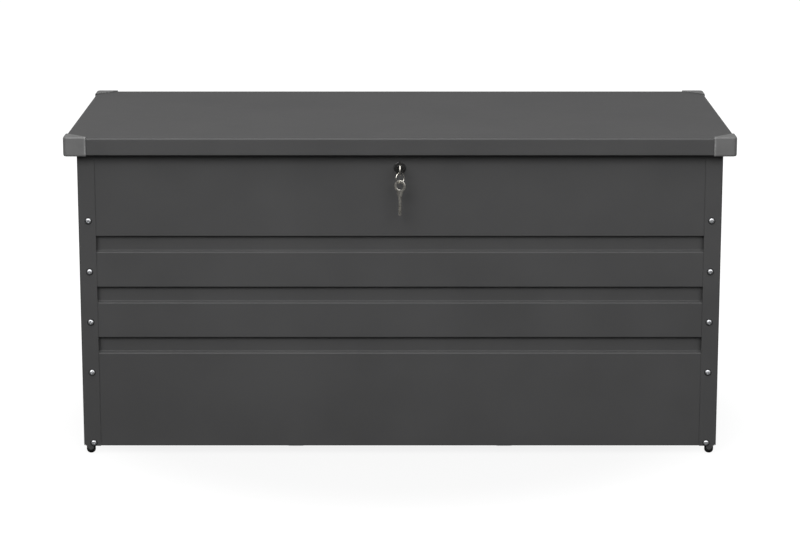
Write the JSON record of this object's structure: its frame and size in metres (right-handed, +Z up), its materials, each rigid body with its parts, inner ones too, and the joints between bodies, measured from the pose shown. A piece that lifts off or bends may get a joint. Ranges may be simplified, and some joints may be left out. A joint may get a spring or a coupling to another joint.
{
  "type": "deck storage box",
  "caption": "Lockable outdoor storage box of grooved sheet steel with a hinged overhanging lid, moulded lid corner caps, gas struts and rubber feet.",
  "frame": {"origin": "on the ground under the middle of the box", "axes": "+X along the width, the front with the lock faces -Y, +Z up"},
  "size_m": [1.32, 0.6334, 0.65],
  "materials": {
    "sheet_metal": "satin powder coat, anthracite",
    "cap_plastic": "moulded plastic, mid grey, fine texture",
    "rubber": "matte black",
    "zinc": "bright zinc plated steel",
    "nickel": "nickel plated, polished",
    "black_paint": "black gloss painted tube"
  },
  "bodies": {
    "box": {"front_panel": "sheet_metal", "rear_panel": "sheet_metal", "side_panel_left": "sheet_metal", "side_panel_right": "sheet_metal", "floor_panel": "sheet_metal", "corner_post_front_left": "sheet_metal", "corner_post_front_right": "sheet_metal", "corner_post_rear_left": "sheet_metal", "corner_post_rear_right": "sheet_metal", "top_rail_front": "sheet_metal", "top_rail_rear": "sheet_metal", "top_rail_left": "sheet_metal", "top_rail_right": "sheet_metal", "foot_front_left": "rubber", "foot_front_right": "rubber", "foot_rear_left": "rubber", "foot_rear_right": "rubber", "lid_bumper_left": "rubber", "lid_bumper_right": "rubber", "floor_rib_left": "zinc", "floor_rib_right": "zinc", "hinge_body_leaf_left": "zinc", "hinge_body_leaf_centre": "zinc", "hinge_body_leaf_right": "zinc", "hinge_pin_left": "zinc", "hinge_pin_centre": "zinc", "hinge_pin_right": "zinc", "strut_body_bracket_left": "zinc", "strut_body_bracket_right": "zinc", "lock_nut": "zinc", "lock_housing": "nickel"},
    "lid": {"lid_panel": "sheet_metal", "lid_cap_front_left": "cap_plastic", "lid_cap_front_right": "cap_plastic", "lid_cap_rear_left": "cap_plastic", "lid_cap_rear_right": "cap_plastic", "lid_stiffener_left": "sheet_metal", "lid_stiffener_centre": "sheet_metal", "lid_stiffener_right": "sheet_metal", "strike_plate": "zinc", "hinge_lid_leaf_left": "zinc", "hinge_lid_leaf_centre": "zinc", "hinge_lid_leaf_right": "zinc", "strut_lid_bracket_left": "zinc", "strut_lid_bracket_right": "zinc"},
    "lock_barrel": {"lock_plug": "nickel", "lock_cam": "zinc", "cam_nut": "zinc"},
    "key": {"key": "nickel"},
    "key_ring": {"key_ring": "nickel"},
    "spare_key": {"spare_key": "nickel"},
    "strut_rod_left": {"strut_rod_left": "nickel"},
    "strut_rod_right": {"strut_rod_right": "nickel"},
    "strut_tube_left": {"strut_tube_left": "black_paint"},
    "strut_tube_right": {"strut_tube_right": "black_paint"}
  },
  "joints": [
    {"name": "lid_hinge", "type": "hinge", "parent": "box", "child": "lid", "pos_m": [0, 0.297, 0.621], "axis": [-1, 0, 0], "range_deg": [0, 75]},
    {"name": "lock_turn", "type": "hinge", "parent": "box", "child": "lock_barrel", "pos_m": [0, -0.2832, 0.585], "axis": [0, 1, 0], "range_deg": [0, 90]},
    {"name": "key_slide", "type": "slide", "parent": "lock_barrel", "child": "key", "axis": [0, -1, 0], "range_m": [0, 0.036]},
    {"name": "ring_swing", "type": "hinge", "parent": "key", "child": "key_ring", "pos_m": [0, -0.3114, 0.5801], "axis": [1, 0, 0], "range_deg": [-60, 10]},
    {"name": "spare_key_swing", "type": "hinge", "parent": "key_ring", "child": "spare_key", "pos_m": [0, -0.3114, 0.5577], "axis": [0.7071, 0.7071, 0], "range_deg": [-45, 20]},
    {"name": "strut_rod_left_pivot", "type": "hinge", "parent": "box", "child": "strut_rod_left", "pos_m": [-0.594, 0.19938, 0.40175], "axis": [-1, 0, 0], "range_deg": [0, 37.5]},
    {"name": "strut_tube_left_pivot", "type": "hinge", "parent": "lid", "child": "strut_tube_left", "pos_m": [-0.594, 0.05708, 0.627], "axis": [1, 0, 0], "range_deg": [0, 37.5]},
    {"name": "strut_rod_right_pivot", "type": "hinge", "parent": "box", "child": "strut_rod_right", "pos_m": [0.594, 0.19938, 0.40175], "axis": [-1, 0, 0], "range_deg": [0, 37.5]},
    {"name": "strut_tube_right_pivot", "type": "hinge", "parent": "lid", "child": "strut_tube_right", "pos_m": [0.594, 0.05708, 0.627], "axis": [1, 0, 0], "range_deg": [0, 37.5]}
  ],
  "couplings": [
    {"joint": "strut_rod_left_pivot", "follows": "lid_hinge", "ratio": 0.5},
    {"joint": "strut_tube_left_pivot", "follows": "lid_hinge", "ratio": 0.5},
    {"joint": "strut_rod_right_pivot", "follows": "lid_hinge", "ratio": 0.5},
    {"joint": "strut_tube_right_pivot", "follows": "lid_hinge", "ratio": 0.5}
  ]
}
